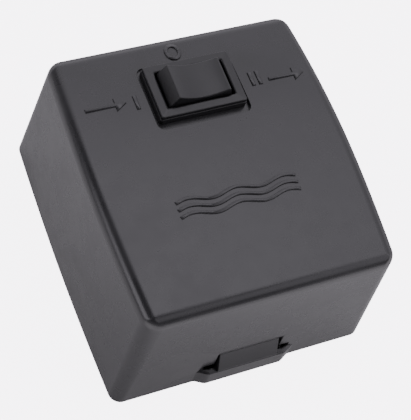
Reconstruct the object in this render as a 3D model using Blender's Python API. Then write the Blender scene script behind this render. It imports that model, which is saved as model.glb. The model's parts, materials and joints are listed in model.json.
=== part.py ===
"""Reversing switch box for a ventilation fan, modelled as an assembly.

The box lies on its back: its wall side is the plane z = 0 and its front face looks along +Z.
X runs across the face and Y runs up it. Lengths are in metres; MM turns millimetres into metres.
The pieces are placed from the middle of the cover, and an empty shifts them all so that the
origin is the bottom centre of the whole box.
"""
import math

import bmesh
import bpy
from mathutils import Vector

MM = 0.001
GAP = 0.3 * MM

# Cover shell
HALF_W = 40.15 * MM
HALF_H = 44.375 * MM
EDGE_Z = 47.5 * MM
CROWN = 1.62 * MM
FACE_RISE = 0.3 * MM
FACE_SKEW = 0.85 * MM
DRAFT_X = 0.0633
DRAFT_Y = 0.050
BOW_REAR = 1.05 * MM
BOW_FRONT = 2.2 * MM
BOW_POWER = 1.8
CORNER_REAR = 3.4 * MM
CORNER_FRONT = 4.7 * MM
EDGE_FILLET = 3.5 * MM
CORNER_TIGHTEN = 0.8
WALL = 2.0 * MM
FRONT_WALL = 2.4 * MM
CORNER_STEPS = 4
SIDE_STEPS = 6
FILLET_STEPS = 4

# Latch in the lower wall
BRIDGE_BULGE = 1.8 * MM
BRIDGE_THICK = 1.6 * MM
BRIDGE_HEIGHT = 6.8 * MM
BRIDGE_CHAMFER = 0.5 * MM
BRIDGE_FLAT = 11.6 * MM
BRIDGE_END = 15.6 * MM
WINDOW_HALF = 10.2 * MM
WINDOW_FOOT_HALF = 13.4 * MM
WINDOW_TOP = 13.9 * MM
WINDOW_FOOT_TOP = 9.0 * MM
ARM_HALF = 9.4 * MM
ARM_AXIS_Y = -43.4 * MM
ARM_AXIS_Z = 3.3 * MM
ARM_THICK = 1.6 * MM
ARM_TOP = 13.5 * MM
NOSE_REACH = 1.5 * MM
NOSE_LIP = 0.5 * MM

# Base plate
PLATE = 2.2 * MM
PLATE_FIT = WALL + GAP
TAB_HALF = 11.4 * MM
TAB_END_HALF = 13.0 * MM
WALL_HOLE_X = 30.0 * MM
WALL_HOLE_Y = 35.0 * MM
WALL_HOLE_R = 2.25 * MM
HOOK_X = 22.0 * MM
HOOK_HALF = 3.5 * MM
HOOK_LEDGE_Z = 5.6 * MM
HOOK_TOP_Z = 8.2 * MM
HOOK_BITE = 1.2 * MM
HOOK_BACK = 1.45 * MM
HOOK_STEP = 0.45 * MM
RIB_HALF = 0.7 * MM
RIB_TOP = 7.0 * MM
FENCE_TOP = 9.0 * MM
BOSS_R = 3.0 * MM
STRAP_BOSS = 2.4 * MM
CLAMP_BOSS = 7.0 * MM

# Switch
SWITCH_Y = 23.1 * MM
POCKET_LEFT = 14.3 * MM
POCKET_RIGHT = 14.0 * MM
POCKET_LOW = 11.1 * MM
POCKET_HIGH = 9.6 * MM
POCKET_CORNER = 2.2 * MM
POCKET_FLOOR = 48.0 * MM
BEZEL_HALF_X = 13.2 * MM
BEZEL_HALF_Y = 8.6 * MM
BEZEL_EDGE_Z = 50.9 * MM
BEZEL_TOP_Z = 51.5 * MM
BODY_HALF_X = 11.4 * MM
BODY_HALF_Y = 7.1 * MM
BODY_BOTTOM = 33.0 * MM
CAVITY_HALF_X = 10.2 * MM
CAVITY_HALF_Y = 5.8 * MM
CAVITY_FLOOR = 35.0 * MM
PIVOT_Z = 49.0 * MM
REST_TILT = math.radians(5.0)
CONTACT_RATIO = -0.6
ROCKER_HALF_Y = 5.4 * MM
RIDGE_X = 7.9 * MM
RIDGE_Z = 5.6 * MM
DISH = 1.8 * MM
PIN_R = 1.0 * MM
PLUNGER_R = 1.35 * MM
PLUNGER_TIP_Z = 38.6 * MM
SPRING_R = 1.1 * MM
SPRING_WIRE_R = 0.18 * MM
BLADE_X = 7.5 * MM
BLADE_HALF = 0.4 * MM
BLADE_HALF_Y = 3.15 * MM
BLADE_TIP = 24.0 * MM
SIDE_PAD_Z = 36.8 * MM
MIDDLE_PAD_Z = 37.2 * MM
CONTACT_Z = 37.6 * MM
CONTACT_HALF = 8.6 * MM
SLEEVE_LOW = 17.0 * MM
SLEEVE_HIGH = 32.4 * MM

# Screws: head radius, head height, shaft radius
SMALL_SCREW = (2.6 * MM, 1.9 * MM, 1.4 * MM)
WIRE_SCREW = (1.8 * MM, 3.2 * MM, 1.15 * MM)
SCREW_HOLE_R = 1.7 * MM
DRILL_STEPS = 12

# Terminal block, capacitor, inlet
BLOCK_X = 8.0 * MM
BLOCK_HALF_X = 19.5 * MM
BLOCK_HALF_Y = 8.0 * MM
BLOCK_LOW = 2.5 * MM
BLOCK_HIGH = 15.5 * MM
POLE_PITCH = 9.5 * MM
POLE_Z = 6.8 * MM
POLE_SCREW_Y = 4.0 * MM
POLE_HALF = 2.8 * MM
POLE_CLAMP_HALF = 2.4 * MM
POLE_CLAMP_END = 6.2 * MM
CAP_Y = -26.5 * MM
CAP_HALF_X = 19.0 * MM
CAP_HALF_Y = 10.5 * MM
CAP_TOP = 28.0 * MM
CAP_WALL = 1.3 * MM
STRAP_HALF = 5.0 * MM
STRAP_THICK = 0.8 * MM
STRAP_FOOT = 26.5 * MM
STRAP_SCREW_X = STRAP_FOOT - 2.9 * MM
INLET_X = -24.0 * MM
INLET_Y = 24.0 * MM
INLET_HOLE_R = 7.5 * MM
INLET_BORE_R = 4.2 * MM
CLAMP_Y = 6.0 * MM
CLAMP_HALF_Y = 3.5 * MM
CLAMP_THICK = 3.2 * MM
CLAMP_SCREW_X = 8.0 * MM
LEAD_R = 1.0 * MM

# Driven: the lower bulge makes the box longer on one side, so the whole model shifts to stay centred
MID_Y = BRIDGE_BULGE / 2
POLES = [BLOCK_X + POLE_PITCH * (k - 1.5) for k in range(4)]


# ---------------------------------------------------------------- helpers

def clear_scene():
    for obj in list(bpy.data.objects):
        bpy.data.objects.remove(obj, do_unlink=True)


def material(name, colour, roughness, metallic=0.0):
    mat = bpy.data.materials.new(name)
    mat.use_nodes = True
    shader = mat.node_tree.nodes["Principled BSDF"]
    shader.inputs["Base Color"].default_value = (*colour, 1.0)
    shader.inputs["Roughness"].default_value = roughness
    shader.inputs["Metallic"].default_value = metallic
    mat.diffuse_color = (*colour, 1.0)
    return mat


def new_object(name, bm, mat, origin=(0.0, 0.0, 0.0)):
    """Turn a bmesh drawn in the box's frame into an object whose origin is at the given point."""
    bmesh.ops.translate(bm, verts=bm.verts, vec=-Vector(origin))
    bmesh.ops.recalc_face_normals(bm, faces=bm.faces)
    mesh = bpy.data.meshes.new(name)
    bm.to_mesh(mesh)
    bm.free()
    mesh.materials.append(mat)
    obj = bpy.data.objects.new(name, mesh)
    obj.location = origin
    obj.parent = FRAME
    bpy.context.scene.collection.objects.link(obj)
    return obj


def smooth(obj, degrees=35.0):
    obj.data.shade_smooth()
    obj.data.set_sharp_from_angle(angle=math.radians(degrees))


def loft(rings):
    """Join rings of equal length into one closed solid with flat ends."""
    bm = bmesh.new()
    loops = [[bm.verts.new(p) for p in ring] for ring in rings]
    count = len(loops[0])
    for low, high in zip(loops, loops[1:]):
        for k in range(count):
            n = (k + 1) % count
            bm.faces.new((low[k], low[n], high[n], high[k]))
    bm.faces.new(list(reversed(loops[0])))
    bm.faces.new(loops[-1])
    return bm


def box(low, high):
    (x0, y0, z0), (x1, y1, z1) = low, high
    corners = ((x0, y0), (x1, y0), (x1, y1), (x0, y1))
    return loft([[(x, y, z) for x, y in corners] for z in (z0, z1)])


def prism(outline, low, high, axis="z"):
    """Extrude an outline of (u, v) points along an axis, from low to high."""
    order = {"x": lambda u, v, w: (w, u, v),
             "y": lambda u, v, w: (u, w, v),
             "z": lambda u, v, w: (u, v, w)}
    place = order[axis]
    return loft([[place(u, v, w) for u, v in outline] for w in (low, high)])


def circle(cx, cy, radius, steps):
    turns = [math.tau * k / steps for k in range(steps)]
    return [(cx + radius * math.cos(turn), cy + radius * math.sin(turn)) for turn in turns]


def rounded_rectangle(x0, x1, y0, y1, radius, steps=4):
    points = []
    for cx, cy, start in ((x1 - radius, y0 + radius, -90), (x1 - radius, y1 - radius, 0),
                          (x0 + radius, y1 - radius, 90), (x0 + radius, y0 + radius, 180)):
        for k in range(steps + 1):
            turn = math.radians(start + 90 * k / steps)
            points.append((cx + radius * math.cos(turn), cy + radius * math.sin(turn)))
    return points


def turned(profile, centre, steps=16):
    """Turn a closed profile of (radius, z) points round the vertical through centre."""
    bm = bmesh.new()
    rings = []
    for k in range(steps):
        turn = math.tau * k / steps
        rings.append([bm.verts.new((centre[0] + r * math.cos(turn), centre[1] + r * math.sin(turn), z))
                      for r, z in profile])
    for k in range(steps):
        here, there = rings[k], rings[(k + 1) % steps]
        for i in range(len(profile)):
            j = (i + 1) % len(profile)
            bm.faces.new((here[i], there[i], there[j], here[j]))
    return bm


def stacked(profile, centre, steps=14):
    """A solid of stacked circles, each given as (radius, z)."""
    return loft([[(x, y, z) for x, y in circle(centre[0], centre[1], r, steps)] for r, z in profile])


def smooth_route(points, per_span=4):
    """Points of a Catmull-Rom curve through the given ones."""
    ends = [points[0]] + list(points) + [points[-1]]
    route = []
    for a, b, c, d in zip(ends, ends[1:], ends[2:], ends[3:]):
        a, b, c, d = Vector(a), Vector(b), Vector(c), Vector(d)
        for k in range(per_span):
            t = k / per_span
            route.append(0.5 * (2 * b + (c - a) * t + (2 * a - 5 * b + 4 * c - d) * t ** 2
                                + (3 * b - a - 3 * c + d) * t ** 3))
    return route + [Vector(points[-1])]


def tube(points, radius, steps=8):
    """A closed round tube along a route, its section carried along without twist."""
    rings = []
    side = None
    for k, point in enumerate(points):
        ahead = (points[min(k + 1, len(points) - 1)] - points[max(k - 1, 0)]).normalized()
        if side is None:
            side = ahead.orthogonal()
        side = (side - ahead * side.dot(ahead)).normalized()
        up = ahead.cross(side)
        rings.append([point + radius * (math.cos(math.tau * i / steps) * side
                                        + math.sin(math.tau * i / steps) * up) for i in range(steps)])
    return loft(rings)


def combine(target, bm, operation):
    """Join a solid to an object, or cut it away, and keep the result as the object's mesh."""
    bmesh.ops.translate(bm, verts=bm.verts, vec=-target.location)
    bmesh.ops.recalc_face_normals(bm, faces=bm.faces)
    mesh = bpy.data.meshes.new("tool")
    bm.to_mesh(mesh)
    bm.free()
    tool = bpy.data.objects.new("tool", mesh)
    tool.parent = FRAME
    tool.location = target.location
    bpy.context.scene.collection.objects.link(tool)
    step = target.modifiers.new("combine", "BOOLEAN")
    step.solver = "EXACT"
    step.operation = operation
    step.object = tool
    bpy.context.view_layer.update()
    seen = target.evaluated_get(bpy.context.evaluated_depsgraph_get())
    result = bpy.data.meshes.new_from_object(seen)
    target.modifiers.clear()
    bpy.data.objects.remove(tool)
    target.data = result


def cut(target, bm):
    combine(target, bm, "DIFFERENCE")


def join(target, bm):
    combine(target, bm, "UNION")


# ---------------------------------------------------------------- cover

def front_z(y):
    """Height of the crowned front face at y."""
    t = y / HALF_H
    return EDGE_Z + FACE_RISE * t + CROWN * (1 - t * t) + FACE_SKEW * (t - t ** 3)


def stations():
    """Places round the right half of the outline, from its lower to its upper middle."""
    lower = [("lower", math.radians(-90 + 90 * k / CORNER_STEPS)) for k in range(CORNER_STEPS + 1)]
    side = [("side", -1 + 2 * k / SIDE_STEPS) for k in range(1, SIDE_STEPS)]
    upper = [("upper", math.radians(90 * k / CORNER_STEPS)) for k in range(CORNER_STEPS + 1)]
    return lower + side + upper


def wall_point(station, z, inset, tighten=0.0):
    """A point of the cover's outline at height z, moved inwards; tighten makes its corners sharper."""
    kind, value = station
    share = z / EDGE_Z
    radius = max(CORNER_REAR + (CORNER_FRONT - CORNER_REAR) * share - inset - tighten, 0.5 * MM)
    half_w = HALF_W - DRAFT_X * z - inset
    half_h = HALF_H - DRAFT_Y * z - inset
    if kind == "side":
        x, y = half_w, (half_h - radius) * value
    else:
        sign = -1 if kind == "lower" else 1
        x = half_w - radius + radius * math.cos(value)
        y = sign * (half_h - radius) + radius * math.sin(value)
    bow = BOW_REAR + (BOW_FRONT - BOW_REAR) * share
    return x + bow * (1 - min(1, abs(y) / HALF_H) ** BOW_POWER) * x / HALF_W, y


def full_ring(right):
    """Close a right-hand run of points with its mirror image."""
    return right + [(-x, y, z) for x, y, z in reversed(right)]


def level_ring(z, inset):
    return full_ring([(*wall_point(s, z, inset), z) for s in stations()])


def fillet_ring(turn, inset, radius, drop):
    """One ring of the rounded edge between the walls and the front face."""
    right = []
    for station in stations():
        inward = radius * (1 - math.cos(turn))
        shift = inset + inward
        tighten = CORNER_TIGHTEN * inward
        y = wall_point(station, EDGE_Z, shift, tighten)[1]
        z = front_z(y) - drop - radius * (1 - math.sin(turn))
        x, y = wall_point(station, z, shift, tighten)
        right.append((x, y, front_z(y) - drop - radius * (1 - math.sin(turn))))
    return full_ring(right)


def shell_skin(bm, inset, radius, drop):
    """Walls, rounded edge and crowned face of one skin; returns its rim."""
    turns = [math.radians(90 * k / FILLET_STEPS) for k in range(FILLET_STEPS + 1)]
    rings = [level_ring(0.0, inset)] + [fillet_ring(turn, inset, radius, drop) for turn in turns]
    loops = [[bm.verts.new(p) for p in ring] for ring in rings]
    count = len(loops[0])
    for low, high in zip(loops, loops[1:]):
        for k in range(count):
            n = (k + 1) % count
            bm.faces.new((low[k], low[n], high[n], high[k]))
    top = loops[-1]
    for k in range(count // 2 - 1):
        bm.faces.new((top[k], top[k + 1], top[count - 2 - k], top[count - 1 - k]))
    return loops[0]


def bridge_section(z, chamfer=0.0):
    """Plan of the latch bridge at height z: it bulges out and runs back into the wall at its ends."""
    wall = -(HALF_H - DRAFT_Y * z)
    run = ((BRIDGE_END, -0.05), (BRIDGE_END - 0.7 * MM, 0.14), (BRIDGE_FLAT + 1.2 * MM, 0.84),
           (BRIDGE_FLAT + 0.3 * MM, 0.97), (BRIDGE_FLAT - 0.9 * MM, 1.0))
    outer = [(-x, wall - BRIDGE_BULGE * share + chamfer) for x, share in run]
    outer += [(-x, y) for x, y in reversed(outer)]
    inner = [(x - 0.4 * MM, wall - BRIDGE_BULGE * share + BRIDGE_THICK) for x, share in run]
    inner += [(-x, y) for x, y in reversed(inner)]
    return [(x, y, z) for x, y in outer + inner]


def make_cover(mat):
    bm = bmesh.new()
    outer = shell_skin(bm, 0.0, EDGE_FILLET, 0.0)
    inner = shell_skin(bm, WALL, EDGE_FILLET - WALL, FRONT_WALL)
    count = len(outer)
    for k in range(count):
        n = (k + 1) % count
        bm.faces.new((outer[n], outer[k], inner[k], inner[n]))
    cover = new_object("cover", bm, mat)
    low_y = SWITCH_Y - POCKET_LOW
    high_y = SWITCH_Y + POCKET_HIGH
    above_face = EDGE_Z + 6 * MM
    pocket = rounded_rectangle(-POCKET_LEFT, POCKET_RIGHT, low_y, high_y, POCKET_CORNER)
    cut(cover, prism(pocket, POCKET_FLOOR, above_face))
    cut(cover, box((-BODY_HALF_X - GAP, SWITCH_Y - BODY_HALF_Y - GAP, EDGE_Z - 8 * MM),
                   (BODY_HALF_X + GAP, SWITCH_Y + BODY_HALF_Y + GAP, above_face)))
    right_half = [(WINDOW_FOOT_HALF, -1 * MM), (WINDOW_FOOT_HALF, WINDOW_FOOT_TOP),
                  (WINDOW_HALF, WINDOW_FOOT_TOP), (WINDOW_HALF, WINDOW_TOP)]
    window = right_half + [(-x, z) for x, z in reversed(right_half)]
    cut(cover, prism(window, -HALF_H - 1 * MM, -HALF_H + 4 * MM, "y"))
    join(cover, loft([bridge_section(0.0), bridge_section(BRIDGE_HEIGHT - BRIDGE_CHAMFER),
                      bridge_section(BRIDGE_HEIGHT, BRIDGE_CHAMFER)]))
    for side in (-1, 1):
        low_x = side * HOOK_X - HOOK_HALF - 0.5 * MM
        high_x = side * HOOK_X + HOOK_HALF + 0.5 * MM
        hook_tip = HALF_H - PLATE_FIT + HOOK_BITE - HOOK_STEP
        cut(cover, box((low_x, HALF_H - WALL - 1 * MM, HOOK_LEDGE_Z - 0.6 * MM),
                       (high_x, hook_tip + 0.4 * MM, HOOK_TOP_Z + 0.4 * MM)))
    smooth(cover)


# ---------------------------------------------------------------- base and latch

def make_base(mat):
    base = new_object("base_plate", loft([level_ring(0.0, PLATE_FIT), level_ring(PLATE, PLATE_FIT)]), mat)
    edge_y = HALF_H - PLATE_FIT
    inside_plate = 1 * MM
    for half, reach in ((TAB_HALF, HALF_H - 0.2 * MM), (TAB_END_HALF, HALF_H - 0.9 * MM)):
        join(base, box((-half, -reach, 0.0), (half, -edge_y + 2 * MM, PLATE)))
    back_y = edge_y - HOOK_STEP - HOOK_BACK
    front_y = edge_y - HOOK_STEP
    hook = [(back_y, inside_plate), (front_y, inside_plate), (front_y, HOOK_LEDGE_Z),
            (front_y + HOOK_BITE, HOOK_LEDGE_Z), (front_y + HOOK_BITE, HOOK_LEDGE_Z + 1 * MM),
            (front_y, HOOK_TOP_Z), (back_y, HOOK_TOP_Z)]
    for side in (-1, 1):
        rib_x = side * (HALF_W - PLATE_FIT - 1.6 * MM)
        join(base, box((rib_x - RIB_HALF, -32 * MM, inside_plate), (rib_x + RIB_HALF, 30 * MM, RIB_TOP)))
        hook_x = side * HOOK_X
        join(base, prism(hook, hook_x - HOOK_HALF, hook_x + HOOK_HALF, "x"))
        fence_x = side * (CAP_HALF_X + 1.1 * MM)
        for end in (-1, 1):
            low_y, high_y = sorted((CAP_Y + end * CAP_HALF_Y, CAP_Y + end * (CAP_HALF_Y - 4 * MM)))
            join(base, box((fence_x - RIB_HALF, low_y, inside_plate),
                           (fence_x + RIB_HALF, high_y, FENCE_TOP)))
    bosses = [(side * STRAP_SCREW_X, CAP_Y, STRAP_BOSS) for side in (-1, 1)]
    bosses += [(INLET_X + side * CLAMP_SCREW_X, CLAMP_Y, CLAMP_BOSS) for side in (-1, 1)]
    for x, y, height in bosses:
        join(base, stacked([(BOSS_R, inside_plate), (BOSS_R, height)], (x, y)))
    block_screws = [(BLOCK_X + side * POLE_PITCH, 0.0) for side in (-1, 1)]
    drill = [(SCREW_HOLE_R, 0.7 * MM), (SCREW_HOLE_R, FENCE_TOP)]
    for x, y in [(x, y) for x, y, _ in bosses] + block_screws:
        cut(base, stacked(drill, (x, y), DRILL_STEPS))
    sink = [(WALL_HOLE_R, -1 * MM), (WALL_HOLE_R, 0.8 * MM), (WALL_HOLE_R + 2.2 * MM, 3.0 * MM)]
    for x in (-WALL_HOLE_X, WALL_HOLE_X):
        for y in (-WALL_HOLE_Y, WALL_HOLE_Y):
            cut(base, stacked(sink, (x, y), 18))
    rebate = INLET_HOLE_R + 1.4 * MM
    inlet = [(rebate, -1 * MM), (rebate, 0.9 * MM), (INLET_HOLE_R, 0.9 * MM), (INLET_HOLE_R, 3 * MM)]
    cut(base, stacked(inlet, (INLET_X, INLET_Y), 24))
    smooth(base)


def make_latch(mat):
    """Springy arm that stands on the base's tab; its nose sits over the bridge."""
    front = ARM_AXIS_Y - ARM_THICK / 2
    back = ARM_AXIS_Y + ARM_THICK / 2
    wall_top = -(HALF_H - DRAFT_Y * ARM_TOP)
    nose_low = BRIDGE_HEIGHT + GAP
    radius = ARM_THICK / 2
    root = [math.radians(-30 * k) for k in range(7)]
    profile = [(ARM_AXIS_Y + radius * math.cos(a), ARM_AXIS_Z + radius * math.sin(a)) for a in root]
    profile += [(front, nose_low), (front - NOSE_REACH, nose_low), (front - NOSE_REACH, nose_low + NOSE_LIP),
                (wall_top + 0.05 * MM, ARM_TOP - 0.3 * MM), (wall_top + 0.35 * MM, ARM_TOP), (back, ARM_TOP)]
    latch = new_object("latch_arm", prism(profile, -ARM_HALF, ARM_HALF, "x"), mat,
                       (0.0, ARM_AXIS_Y, ARM_AXIS_Z))
    smooth(latch)


# ---------------------------------------------------------------- switch

def rectangle(half_x, half_y, z):
    return [(-half_x, SWITCH_Y - half_y, z), (half_x, SWITCH_Y - half_y, z),
            (half_x, SWITCH_Y + half_y, z), (-half_x, SWITCH_Y + half_y, z)]


def make_housing(mat):
    """Bezel and body of the switch, open at the front."""
    flange_z = POCKET_FLOOR + GAP
    mouth = 0.35 * MM
    bevel = 0.5 * MM
    rings = [rectangle(BODY_HALF_X, BODY_HALF_Y, BODY_BOTTOM),
             rectangle(BODY_HALF_X, BODY_HALF_Y, flange_z),
             rectangle(BEZEL_HALF_X, BEZEL_HALF_Y, flange_z),
             rectangle(BEZEL_HALF_X, BEZEL_HALF_Y, BEZEL_EDGE_Z),
             rectangle(BEZEL_HALF_X - bevel, BEZEL_HALF_Y - bevel, BEZEL_EDGE_Z + 0.4 * MM),
             rectangle(CAVITY_HALF_X + mouth, CAVITY_HALF_Y + mouth, BEZEL_TOP_Z),
             rectangle(CAVITY_HALF_X, CAVITY_HALF_Y, BEZEL_TOP_Z - mouth),
             rectangle(CAVITY_HALF_X, CAVITY_HALF_Y, CAVITY_FLOOR)]
    housing = new_object("switch_housing", loft(rings), mat)
    slot_x = BLADE_HALF + GAP
    slot_y = BLADE_HALF_Y + GAP
    for x in (-BLADE_X, 0.0, BLADE_X):
        cut(housing, box((x - slot_x, SWITCH_Y - slot_y, BODY_BOTTOM - 1 * MM),
                         (x + slot_x, SWITCH_Y + slot_y, CAVITY_FLOOR + 1 * MM)))
    socket = circle(0.0, PIVOT_Z, PIN_R + GAP, 14)
    socket_end = BODY_HALF_Y - 0.1 * MM
    cut(housing, prism(socket, SWITCH_Y - socket_end, SWITCH_Y + socket_end, "y"))
    wing_top = EDGE_Z - 2.9 * MM
    for side in (-1, 1):
        root_x = side * (BODY_HALF_X - 0.3 * MM)
        wing = [(root_x, 39 * MM), (side * (BODY_HALF_X + 0.9 * MM), wing_top), (root_x, wing_top)]
        join(housing, prism(wing, SWITCH_Y - 3 * MM, SWITCH_Y + 3 * MM, "y"))


def rocker_outline():
    """Side view of the rocker about its pivot: dished top, sloped ends, round underside."""
    top = []
    steps = 8
    for k in range(steps + 1):
        x = RIDGE_X * (1 - 2 * k / steps)
        top.append((x, RIDGE_Z - DISH * (1 - (x / RIDGE_X) ** 2)))
    left = [(-RIDGE_X - 0.35 * MM, RIDGE_Z - 0.25 * MM), (-9.75 * MM, 1.5 * MM),
            (-9.6 * MM, -0.6 * MM), (-7.2 * MM, -2.4 * MM), (-3.0 * MM, -3.2 * MM)]
    right = [(-x, z) for x, z in reversed(left)]
    return right + top + left


def make_rocker(mat, steel, brass):
    """Rocker on its pin, with the sprung plunger that hangs from it, all tilted to the side it rests on."""
    origin = (0.0, SWITCH_Y, PIVOT_Z)
    outline = [(x, z + PIVOT_Z) for x, z in rocker_outline()]
    rocker = new_object("rocker", prism(outline, SWITCH_Y - ROCKER_HALF_Y, SWITCH_Y + ROCKER_HALF_Y, "y"),
                        mat, origin)
    centre = (0.0, SWITCH_Y)
    stem_r = PLUNGER_R + 1.25 * MM
    bore_r = PLUNGER_R + 0.35 * MM
    stem_low = PIVOT_Z - 8 * MM
    join(rocker, stacked([(stem_r, stem_low), (stem_r, PIVOT_Z - PIN_R)], centre, 16))
    bearing = circle(0.0, PIVOT_Z, PIN_R + GAP, 14)
    cut(rocker, prism(bearing, SWITCH_Y - BODY_HALF_Y, SWITCH_Y + BODY_HALF_Y, "y"))
    cut(rocker, stacked([(bore_r, stem_low - 1 * MM), (bore_r, PIVOT_Z - 1.9 * MM)], centre, 16))
    pin_end = BODY_HALF_Y - 0.5 * MM
    pin_shape = prism(circle(0.0, PIVOT_Z, PIN_R, 14), SWITCH_Y - pin_end, SWITCH_Y + pin_end, "y")
    pin = new_object("rocker_pin", pin_shape, steel, origin)
    tip = []
    for degrees in (12, 35, 60, 90):
        turn = math.radians(degrees)
        tip.append((PLUNGER_R * math.sin(turn), PLUNGER_TIP_Z + PLUNGER_R * (1 - math.cos(turn))))
    plunger_top = PIVOT_Z - 5.6 * MM
    plunger = new_object("plunger", stacked(tip + [(PLUNGER_R, plunger_top)], centre), brass, origin)
    turns = 4
    per_turn = 12
    coil_low = plunger_top + 0.5 * MM
    coil_length = 2.7 * MM
    coil = []
    for k in range(turns * per_turn + 1):
        turn = math.tau * k / per_turn
        rise = coil_low + coil_length * k / (turns * per_turn)
        coil.append(Vector((SPRING_R * math.cos(turn), SWITCH_Y + SPRING_R * math.sin(turn), rise)))
    spring = new_object("plunger_spring", tube(coil, SPRING_WIRE_R, 6), steel, origin)
    for piece in (rocker, pin, plunger, spring):
        smooth(piece)
        piece.rotation_euler = (0.0, REST_TILT, 0.0)


def make_contacts(copper):
    """See-saw contact on the middle terminal, and the three terminals with their blades."""
    foot = CONTACT_HALF - 2 * MM
    half_width = 1.7 * MM
    right_half = [(foot, 0.1 * MM), (foot, 0.0), (CONTACT_HALF, 0.0), (CONTACT_HALF, 0.6 * MM)]
    outline = [(x, CONTACT_Z + z) for x, z in right_half]
    outline += [(-x, z) for x, z in reversed(outline)]
    contact = new_object("moving_contact", prism(outline, SWITCH_Y - half_width, SWITCH_Y + half_width, "y"),
                         copper, (0.0, SWITCH_Y, CONTACT_Z))
    contact.rotation_euler = (0.0, REST_TILT * CONTACT_RATIO, 0.0)
    ledge = CAVITY_FLOOR + GAP
    for name, middle, half, top in (("terminal_left", -BLADE_X, 1.9 * MM, SIDE_PAD_Z),
                                    ("terminal_mid", 0.0, 1.0 * MM, MIDDLE_PAD_Z),
                                    ("terminal_right", BLADE_X, 1.9 * MM, SIDE_PAD_Z)):
        right_half = [(BLADE_HALF, BLADE_TIP), (BLADE_HALF, ledge), (half, ledge), (half, top)]
        profile = [(middle + x, z) for x, z in right_half]
        profile += [(middle - x, z) for x, z in reversed(right_half)]
        new_object(name, prism(profile, SWITCH_Y - BLADE_HALF_Y, SWITCH_Y + BLADE_HALF_Y, "y"), copper)


def make_sleeves(mat):
    half_x = 1.8 * MM
    half_y = 4.2 * MM
    slot_x = BLADE_HALF + 0.35 * MM
    slot_y = BLADE_HALF_Y + 0.35 * MM
    for name, x in (("sleeve_left", -BLADE_X), ("sleeve_mid", 0.0), ("sleeve_right", BLADE_X)):
        outline = rounded_rectangle(x - half_x, x + half_x, SWITCH_Y - half_y, SWITCH_Y + half_y,
                                    half_x / 2, 2)
        sleeve = new_object(name, prism(outline, SLEEVE_LOW, SLEEVE_HIGH), mat)
        cut(sleeve, box((x - slot_x, SWITCH_Y - slot_y, BLADE_TIP - GAP),
                        (x + slot_x, SWITCH_Y + slot_y, SLEEVE_HIGH + 1 * MM)))
        smooth(sleeve)


# ---------------------------------------------------------------- terminal block, capacitor, inlet

def make_block(mat, brass, steel):
    """Terminal block: four poles with a brass clamp each, and two screws that hold it to the base."""
    block = new_object("terminal_block", box((BLOCK_X - BLOCK_HALF_X, -BLOCK_HALF_Y, BLOCK_LOW),
                                             (BLOCK_X + BLOCK_HALF_X, BLOCK_HALF_Y, BLOCK_HIGH)), mat)
    past_y = BLOCK_HALF_Y + 1 * MM
    past_z = BLOCK_HIGH + 1 * MM
    well_r = WIRE_SCREW[0] + 0.4 * MM
    for x in POLES:
        cut(block, box((x - POLE_HALF, -past_y, POLE_Z - POLE_HALF),
                       (x + POLE_HALF, past_y, POLE_Z + POLE_HALF)))
        for y in (-POLE_SCREW_Y, POLE_SCREW_Y):
            cut(block, stacked([(well_r, POLE_Z), (well_r, past_z)], (x, y), DRILL_STEPS))
    seat = BLOCK_HIGH - 3 * MM
    shaft_hole = SMALL_SCREW[2] + 0.5 * MM
    head_hole = SMALL_SCREW[0] + 0.4 * MM
    hole = [(shaft_hole, 0.0), (shaft_hole, seat), (head_hole, seat), (head_hole, past_z)]
    notch_half = 0.4 * MM
    notch_low = BLOCK_HIGH - 1.3 * MM
    for side in (-1, 1):
        cut(block, stacked(hole, (BLOCK_X + side * POLE_PITCH, 0.0), DRILL_STEPS))
    for notch_x in (BLOCK_X - POLE_PITCH, BLOCK_X, BLOCK_X + POLE_PITCH):
        cut(block, box((notch_x - notch_half, -past_y, notch_low), (notch_x + notch_half, past_y, past_z)))
    low_z = POLE_Z - POLE_CLAMP_HALF
    high_z = POLE_Z + POLE_CLAMP_HALF
    screw_hole = WIRE_SCREW[2] + 0.35 * MM
    wire_seat = POLE_Z + POLE_HALF
    for k, x in enumerate(POLES):
        bar = box((x - POLE_CLAMP_HALF, -POLE_CLAMP_END, low_z), (x + POLE_CLAMP_HALF, POLE_CLAMP_END, high_z))
        clamp = new_object(f"terminal_clamp_{k + 1}", bar, brass)
        cut(clamp, prism(circle(x, POLE_Z, 1.6 * MM, DRILL_STEPS), -past_y, past_y, "y"))
        for row, y in enumerate((-POLE_SCREW_Y, POLE_SCREW_Y)):
            cut(clamp, stacked([(screw_hole, POLE_Z), (screw_hole, high_z + 1 * MM)], (x, y), DRILL_STEPS))
            add_screw(f"clamp_screw_{2 * k + row + 1}", (x, y), wire_seat, WIRE_SCREW, 2.6 * MM, steel)
    for side, name in ((-1, "block_screw_1"), (1, "block_screw_2")):
        add_screw(name, (BLOCK_X + side * POLE_PITCH, 0.0), seat + GAP, SMALL_SCREW, 11.6 * MM, steel)


def add_screw(name, centre, seat, size, length, mat):
    """A slotted screw whose head rests at height seat, its shaft reaching down by length."""
    head_r, head_h, shaft_r = size
    rim = 0.4 * MM
    profile = [(shaft_r, seat - length), (shaft_r, seat), (head_r, seat), (head_r, seat + head_h - rim),
               (head_r - rim, seat + head_h)]
    screw = new_object(name, stacked(profile, centre, DRILL_STEPS), mat)
    slot_half = 0.35 * MM
    slot_low = seat + head_h - 0.8 * MM
    x, y = centre
    cut(screw, box((x - 2 * head_r, y - slot_half, slot_low),
                   (x + 2 * head_r, y + slot_half, seat + 2 * head_h)))
    smooth(screw)


def capacitor_outline(inset, radius, steps):
    """Plan of the capacitor, moved inwards by inset."""
    half_x = CAP_HALF_X - inset
    half_y = CAP_HALF_Y - inset
    return rounded_rectangle(-half_x, half_x, CAP_Y - half_y, CAP_Y + half_y, radius, steps)


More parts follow.
